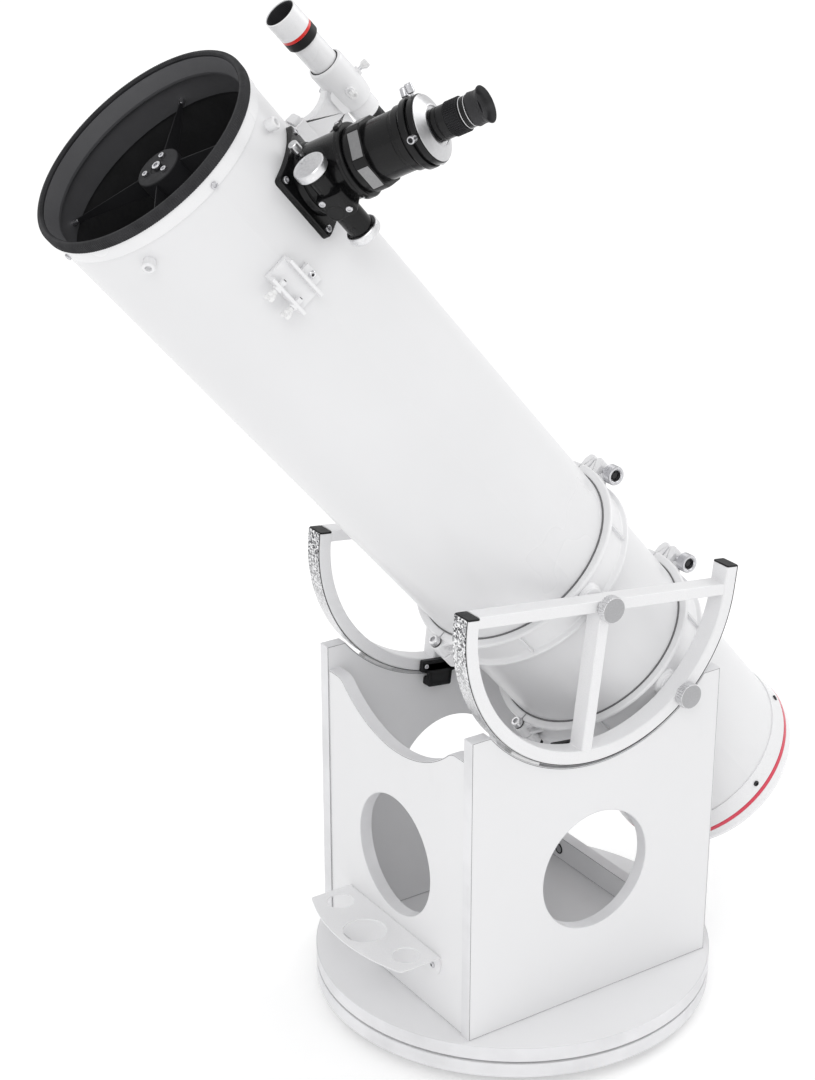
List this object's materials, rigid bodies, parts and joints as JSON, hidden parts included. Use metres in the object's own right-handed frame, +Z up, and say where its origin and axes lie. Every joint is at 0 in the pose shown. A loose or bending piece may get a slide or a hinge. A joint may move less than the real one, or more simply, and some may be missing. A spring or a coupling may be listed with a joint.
{
  "type": "dobsonian telescope",
  "caption": "Newtonian reflecting telescope whose tube rides in a cradle with round side arcs on a rocker box that turns on a two-disc base.",
  "frame": {"origin": "where the azimuth axis meets the floor, under the middle of the round boards", "axes": "+Z up; the altitude axis is parallel to X; the tube's open end and the front panel face -Y; the focuser is on the +X side"},
  "size_m": [0.4952, 0.9504, 1.2163],
  "materials": {
    "white_board": "satin white laminate on particle board",
    "white_paint": "satin",
    "rubber": "matt",
    "steel": "zinc plated",
    "white_plastic": "matt",
    "black_plastic": "matt",
    "felt": "matt",
    "grey_aluminium": "satin",
    "black_anodised": "satin",
    "silver_anodised": "satin",
    "mirror": "polished"
  },
  "bodies": {
    "ground_base": {"ground_board": "white_board", "ground_feet": "rubber", "lower_bearing_race": "steel", "pivot_bolt": "steel", "pivot_nut": "steel"},
    "bearing_cage": {"azimuth_rollers": "steel", "azimuth_cage": "steel"},
    "rocker_box": {"rotating_board": "white_board", "upper_bearing_race": "steel", "pivot_bush": "white_plastic", "altitude_pads": "white_plastic", "side_panel_left": "white_board", "side_panel_right": "white_board", "front_panel": "white_board", "rear_stretcher": "white_board", "accessory_tray": "white_paint", "rocker_screws": "steel"},
    "tube_assembly": {"side_frame_left": "white_paint", "side_frame_right": "white_paint", "side_guides": "black_plastic", "bearing_strips": "steel", "frame_caps": "black_plastic", "cradle_half_left": "white_paint", "cradle_half_right": "white_paint", "ring_liners": "felt", "hinge_bolts": "steel", "cradle_knobs": "grey_aluminium", "optical_tube": "white_paint", "front_ring": "white_paint", "rim_trim": "rubber", "rear_ring": "white_paint", "tube_screws": "steel", "primary_mirror": "mirror", "mirror_clips": "steel", "mirror_cell": "grey_aluminium", "cell_frame": "grey_aluminium", "spider_vanes": "black_anodised", "spider_nuts": "white_paint", "spider_hub": "black_anodised", "secondary_mirror": "mirror", "secondary_holder": "black_anodised", "focuser_base": "black_anodised", "focuser_body": "black_anodised", "finder_tube": "white_paint", "finder_bracket": "white_paint", "dovetail_shoes": "white_paint", "thumb_screws": "white_paint"},
    "clamp_front": {"clamp_screw_front": "grey_aluminium"},
    "clamp_rear": {"clamp_screw_rear": "grey_aluminium"},
    "collimation_1": {"collimation_screw_1": "grey_aluminium"},
    "collimation_2": {"collimation_screw_2": "grey_aluminium"},
    "collimation_3": {"collimation_screw_3": "grey_aluminium"},
    "tension": {"tension_screw": "steel"},
    "focus_shaft": {"focus_knobs": "silver_anodised"},
    "draw_tube": {"drawtube": "silver_anodised", "drawtube_clamp": "black_anodised", "eyepiece_adapter": "silver_anodised", "clamp_screws": "steel"},
    "eyepiece_body": {"eyepiece": "black_anodised", "eyecup": "rubber"}
  },
  "joints": [
    {"name": "azimuth", "type": "hinge", "parent": "ground_base", "child": "rocker_box", "pos_m": [0, 0, 0.0375], "axis": [0, 0, 1], "continuous": true},
    {"name": "azimuth_cage", "type": "hinge", "parent": "ground_base", "child": "bearing_cage", "pos_m": [0, 0, 0.0358], "axis": [0, 0, 1], "continuous": true},
    {"name": "altitude", "type": "hinge", "parent": "rocker_box", "child": "tube_assembly", "pos_m": [0, 0, 0.5606], "axis": [-1, 0, 0], "range_deg": [-48.9, 41.1]},
    {"name": "focus_slide", "type": "slide", "parent": "tube_assembly", "child": "draw_tube", "axis": [0.7431, 0.5042, 0.4399], "range_m": [0, 0.038]},
    {"name": "focus_turn", "type": "hinge", "parent": "tube_assembly", "child": "focus_shaft", "pos_m": [0.13485, -0.32901, 1.05388], "axis": [0, -0.6574, 0.7536], "range_deg": [-728, 0]},
    {"name": "eyepiece_slide", "type": "slide", "parent": "draw_tube", "child": "eyepiece_body", "axis": [0.7431, 0.5042, 0.4399], "range_m": [0, 0.034]},
    {"name": "clamp_front_turn", "type": "hinge", "parent": "tube_assembly", "child": "clamp_front", "pos_m": [0.03, 0.10746, 0.65434], "axis": [1, 0, 0], "continuous": true},
    {"name": "clamp_rear_turn", "type": "hinge", "parent": "tube_assembly", "child": "clamp_rear", "pos_m": [0.03, 0.2271, 0.51719], "axis": [1, 0, 0], "continuous": true},
    {"name": "tension_turn", "type": "hinge", "parent": "tube_assembly", "child": "tension", "pos_m": [0.103, -0.34766, 1.09202], "axis": [0, -0.6574, 0.7536], "continuous": true},
    {"name": "collimation_1_turn", "type": "hinge", "parent": "tube_assembly", "child": "collimation_1", "pos_m": [0, 0.36662, 0.26203], "axis": [0, -0.6574, 0.7536], "continuous": true},
    {"name": "collimation_2_turn", "type": "hinge", "parent": "tube_assembly", "child": "collimation_2", "pos_m": [-0.06928, 0.27619, 0.18314], "axis": [0, -0.6574, 0.7536], "continuous": true},
    {"name": "collimation_3_turn", "type": "hinge", "parent": "tube_assembly", "child": "collimation_3", "pos_m": [0.06928, 0.27619, 0.18314], "axis": [0, -0.6574, 0.7536], "continuous": true}
  ],
  "couplings": [
    {"joint": "azimuth_cage", "follows": "azimuth", "ratio": 0.5},
    {"joint": "focus_turn", "follows": "focus_slide", "rad_per_m": -333.33}
  ]
}
